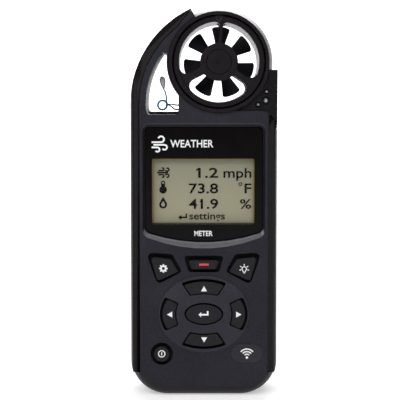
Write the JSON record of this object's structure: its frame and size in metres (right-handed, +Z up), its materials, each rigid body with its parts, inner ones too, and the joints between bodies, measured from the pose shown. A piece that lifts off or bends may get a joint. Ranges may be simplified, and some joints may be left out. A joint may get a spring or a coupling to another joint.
{
  "type": "handheld weather meter",
  "caption": "Handheld weather meter with a ducted impeller, a temperature bead in a side window, a segment display, a key ring and a rear battery door.",
  "frame": {"origin": "middle of the flat foot that the meter stands on", "axes": "+X to the right as the display is read, +Z up towards the impeller, and the display and keys look along -Y"},
  "size_m": [0.048, 0.028, 0.127],
  "materials": {
    "face_plastic": "fine sand-blast texture",
    "smooth_plastic": "smooth moulded, satin",
    "impeller_plastic": "smooth moulded, satin",
    "grip_rubber": "moulded grip, satin",
    "seal_rubber": "matt",
    "key_rubber": "fine matt keytops",
    "lens_acrylic": "polished, back-printed black",
    "panel_glass": "grey-green reflective display",
    "guide_acrylic": "diffusing",
    "board_laminate": "solder mask green",
    "chip_epoxy": "matt black epoxy",
    "clear_polyester": "thin film",
    "steel": "nickel plated",
    "brass": "turned brass",
    "gold": "gold plated",
    "magnet_black": "coated ferrite",
    "coil_copper": "enamelled copper winding",
    "badge_plastic": "satin moulded badge",
    "bead_glass": "pearly glass coating",
    "lead_blue": "enamelled wire, blue sleeve",
    "lead_navy": "enamelled wire, dark",
    "cell_jacket": "plain printed foil jacket"
  },
  "bodies": {
    "housing": {"front_housing": "face_plastic", "rear_housing": "face_plastic", "vent_grille": "smooth_plastic", "thermistor_terminal": "smooth_plastic", "left_grip": "grip_rubber", "right_grip": "grip_rubber", "housing_gasket": "seal_rubber", "door_seal": "seal_rubber", "keypad_membrane": "seal_rubber", "lcd_connector": "seal_rubber", "display_lens": "lens_acrylic", "lcd_panel": "panel_glass", "light_guide": "guide_acrylic", "main_board": "board_laminate", "processor_chip": "chip_epoxy", "humidity_sensor": "chip_epoxy", "dome_sheet": "clear_polyester", "radio_module": "steel", "pressure_sensor": "steel", "battery_spring": "steel", "battery_contact": "steel", "door_hinge_pin": "steel", "housing_screw_1": "steel", "housing_screw_2": "steel", "housing_screw_3": "steel", "housing_screw_4": "steel", "door_insert": "brass", "tripod_bush": "brass", "contact_pin_1": "gold", "contact_pin_2": "gold", "contact_pin_3": "gold", "wind_pickup_coil": "coil_copper", "wireless_badge": "badge_plastic", "thermistor_bead": "bead_glass", "thermistor_lead_blue": "lead_blue", "thermistor_lead_navy": "lead_navy", "battery_cell": "cell_jacket"},
    "impeller_module": {"module_guard": "smooth_plastic", "module_sleeve": "smooth_plastic", "guard_cap": "smooth_plastic", "front_bearing": "gold", "rear_bearing": "gold"},
    "rotor": {"impeller": "impeller_plastic", "impeller_axle": "steel", "rotor_magnet": "magnet_black"},
    "battery_door": {"battery_door": "face_plastic"},
    "door_screw": {"door_screw": "steel"},
    "key_settings": {"key_settings": "key_rubber"},
    "key_capture": {"key_capture": "key_rubber"},
    "key_backlight": {"key_backlight": "key_rubber"},
    "key_up": {"key_up": "key_rubber"},
    "key_down": {"key_down": "key_rubber"},
    "key_left": {"key_left": "key_rubber"},
    "key_right": {"key_right": "key_rubber"},
    "key_enter": {"key_enter": "key_rubber"},
    "key_power": {"key_power": "key_rubber"}
  },
  "joints": [
    {"name": "impeller_module_slide", "type": "slide", "parent": "housing", "child": "impeller_module", "axis": [0, -1, 0], "range_m": [0, 0.02]},
    {"name": "rotor_spin", "type": "hinge", "parent": "impeller_module", "child": "rotor", "pos_m": [0.00495, 0, 0.1094], "axis": [0, -1, 0], "continuous": true},
    {"name": "battery_door_hinge", "type": "hinge", "parent": "housing", "child": "battery_door", "pos_m": [0, 0.0128, 0.0692], "axis": [1, 0, 0], "range_deg": [0, 75]},
    {"name": "door_screw_turn", "type": "hinge", "parent": "battery_door", "child": "door_screw", "pos_m": [0, 0.0131, 0.0089], "axis": [0, 1, 0], "range_deg": [0, 90]},
    {"name": "key_settings_press", "type": "slide", "parent": "housing", "child": "key_settings", "axis": [0, 1, 0], "range_m": [0, 0.0005], "stiffness_N_per_m": 2000},
    {"name": "key_capture_press", "type": "slide", "parent": "housing", "child": "key_capture", "axis": [0, 1, 0], "range_m": [0, 0.0005], "stiffness_N_per_m": 2000},
    {"name": "key_backlight_press", "type": "slide", "parent": "housing", "child": "key_backlight", "axis": [0, 1, 0], "range_m": [0, 0.0005], "stiffness_N_per_m": 2000},
    {"name": "key_up_press", "type": "slide", "parent": "housing", "child": "key_up", "axis": [0, 1, 0], "range_m": [0, 0.0005], "stiffness_N_per_m": 2000},
    {"name": "key_down_press", "type": "slide", "parent": "housing", "child": "key_down", "axis": [0, 1, 0], "range_m": [0, 0.0005], "stiffness_N_per_m": 2000},
    {"name": "key_left_press", "type": "slide", "parent": "housing", "child": "key_left", "axis": [0, 1, 0], "range_m": [0, 0.0005], "stiffness_N_per_m": 2000},
    {"name": "key_right_press", "type": "slide", "parent": "housing", "child": "key_right", "axis": [0, 1, 0], "range_m": [0, 0.0005], "stiffness_N_per_m": 2000},
    {"name": "key_enter_press", "type": "slide", "parent": "housing", "child": "key_enter", "axis": [0, 1, 0], "range_m": [0, 0.0005], "stiffness_N_per_m": 2000},
    {"name": "key_power_press", "type": "slide", "parent": "housing", "child": "key_power", "axis": [0, 1, 0], "range_m": [0, 0.0005], "stiffness_N_per_m": 2000}
  ]
}
